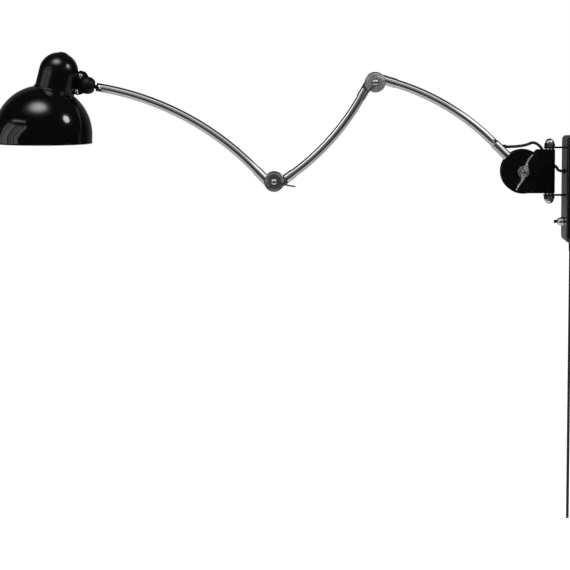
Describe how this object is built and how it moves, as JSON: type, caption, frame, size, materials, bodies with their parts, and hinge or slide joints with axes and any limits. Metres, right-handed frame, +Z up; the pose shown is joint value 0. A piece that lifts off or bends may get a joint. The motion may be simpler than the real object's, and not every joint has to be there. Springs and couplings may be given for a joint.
{
  "type": "articulating wall lamp",
  "caption": "Wall lamp: plate, swivelling fork, three folding curved nickel arms with friction elbows, and a ball-jointed enamelled shade.",
  "frame": {"origin": "centre of the wall plate's back, on the wall", "axes": "+X into the wall, +Z up, arms fold in the XZ plane; -Y is the side with the wing nut and levers"},
  "size_m": [1.27, 0.2154, 1.0275],
  "materials": {
    "black_enamel": "gloss vitreous enamel",
    "black_paint": "semi-gloss stove enamel",
    "plate_paint": "satin dark paint",
    "nickel": "polished nickel plate",
    "grey_nickel": "turned and dulled nickel",
    "steel": "plain steel",
    "black_rubber": "matt",
    "moulded": "moulded, low gloss",
    "fibre": "pressed fibre",
    "glass": "clear"
  },
  "bodies": {
    "wall": {"wall_cover": "plate_paint", "mounting_plate": "steel", "pivot_bracket": "black_paint", "cover_screws": "steel", "upper_pivot_stud": "steel", "lower_pivot_stud": "steel", "upper_cap_nut": "nickel", "lower_cap_nut": "nickel", "upper_thrust_washer": "nickel", "lower_thrust_washer": "nickel", "cord_grommet": "black_rubber", "switch_body": "moulded", "switch_collar": "nickel", "terminal_block": "moulded", "strain_relief": "black_rubber", "supply_cord": "black_rubber"},
    "switch_button": {"switch_button": "moulded"},
    "swivel": {"swivel_fork": "black_paint", "front_friction_disc": "black_paint", "rear_friction_disc": "black_paint", "base_bolt": "steel", "base_washer": "nickel", "wall_cord_loop": "black_rubber"},
    "wing_nut": {"wing_nut": "nickel"},
    "arm_1": {"arm_1_drum": "black_paint", "arm_1_tube": "nickel", "arm_1_knuckle": "grey_nickel", "sleeve_grommet": "black_rubber", "elbow_2_screw": "grey_nickel", "arm_cord_loop": "black_rubber"},
    "elbow_2_lever": {"elbow_2_lever": "nickel"},
    "arm_2": {"arm_2_upper_knuckle": "grey_nickel", "arm_2_tube": "nickel", "arm_2_lower_knuckle": "grey_nickel", "elbow_1_friction_washer": "fibre", "elbow_2_friction_washer": "fibre"},
    "arm_3": {"arm_3_knuckle": "grey_nickel", "arm_3_tube": "nickel", "elbow_1_screw": "grey_nickel", "arm_3_end_bush": "steel"},
    "elbow_1_lever": {"elbow_1_lever": "nickel"},
    "ball": {"ball_stud": "steel"},
    "head": {"front_clamp_shell": "black_paint", "rear_clamp_shell": "black_paint", "clamp_screws": "nickel", "clamp_nuts": "nickel", "lamp_housing": "black_paint", "housing_cap": "black_paint", "shade": "black_enamel", "shade_ring": "steel", "holder_plate": "steel", "lampholder": "moulded", "bulb": "glass"}
  },
  "joints": [
    {"name": "swivel_turn", "type": "hinge", "parent": "wall", "child": "swivel", "pos_m": [-0.0584, 0, 0.0384], "axis": [0, 0, 1], "range_deg": [-70, 65], "deforming": ["wall_cord_loop"]},
    {"name": "wing_nut_turn", "type": "hinge", "parent": "swivel", "child": "wing_nut", "pos_m": [-0.117, 0, 0.0384], "axis": [0, -1, 0], "range_deg": [-170, 170]},
    {"name": "base_hinge", "type": "hinge", "parent": "swivel", "child": "arm_1", "pos_m": [-0.117, 0, 0.0384], "axis": [0, -1, 0], "range_deg": [-40, 60], "deforming": ["arm_cord_loop"]},
    {"name": "elbow_2_hinge", "type": "hinge", "parent": "arm_1", "child": "arm_2", "pos_m": [-0.43904, 0, 0.2319], "axis": [0, -1, 0], "range_deg": [-75, 80]},
    {"name": "elbow_2_lever_turn", "type": "hinge", "parent": "arm_1", "child": "elbow_2_lever", "pos_m": [-0.43904, 0, 0.2319], "axis": [0, -1, 0], "range_deg": [-60, 60]},
    {"name": "elbow_1_hinge", "type": "hinge", "parent": "arm_2", "child": "arm_3", "pos_m": [-0.65893, 0, 0.01581], "axis": [0, -1, 0], "range_deg": [-90, 80]},
    {"name": "elbow_1_lever_turn", "type": "hinge", "parent": "arm_3", "child": "elbow_1_lever", "pos_m": [-0.65893, 0, 0.01581], "axis": [0, -1, 0], "range_deg": [-60, 60]},
    {"name": "ball_spin", "type": "hinge", "parent": "arm_3", "child": "ball", "pos_m": [-1.06432, 0, 0.22504], "axis": [-0.9841, 0, 0.1779], "range_deg": [-170, 170]},
    {"name": "head_tilt", "type": "hinge", "parent": "ball", "child": "head", "pos_m": [-1.06432, 0, 0.22504], "axis": [0, -1, 0], "range_deg": [-18, 18]},
    {"name": "switch_push", "type": "slide", "parent": "wall", "child": "switch_button", "axis": [1, 0, 0], "range_m": [0, 0.0025], "stiffness_N_per_m": 400, "springref_m": -0.001}
  ]
}
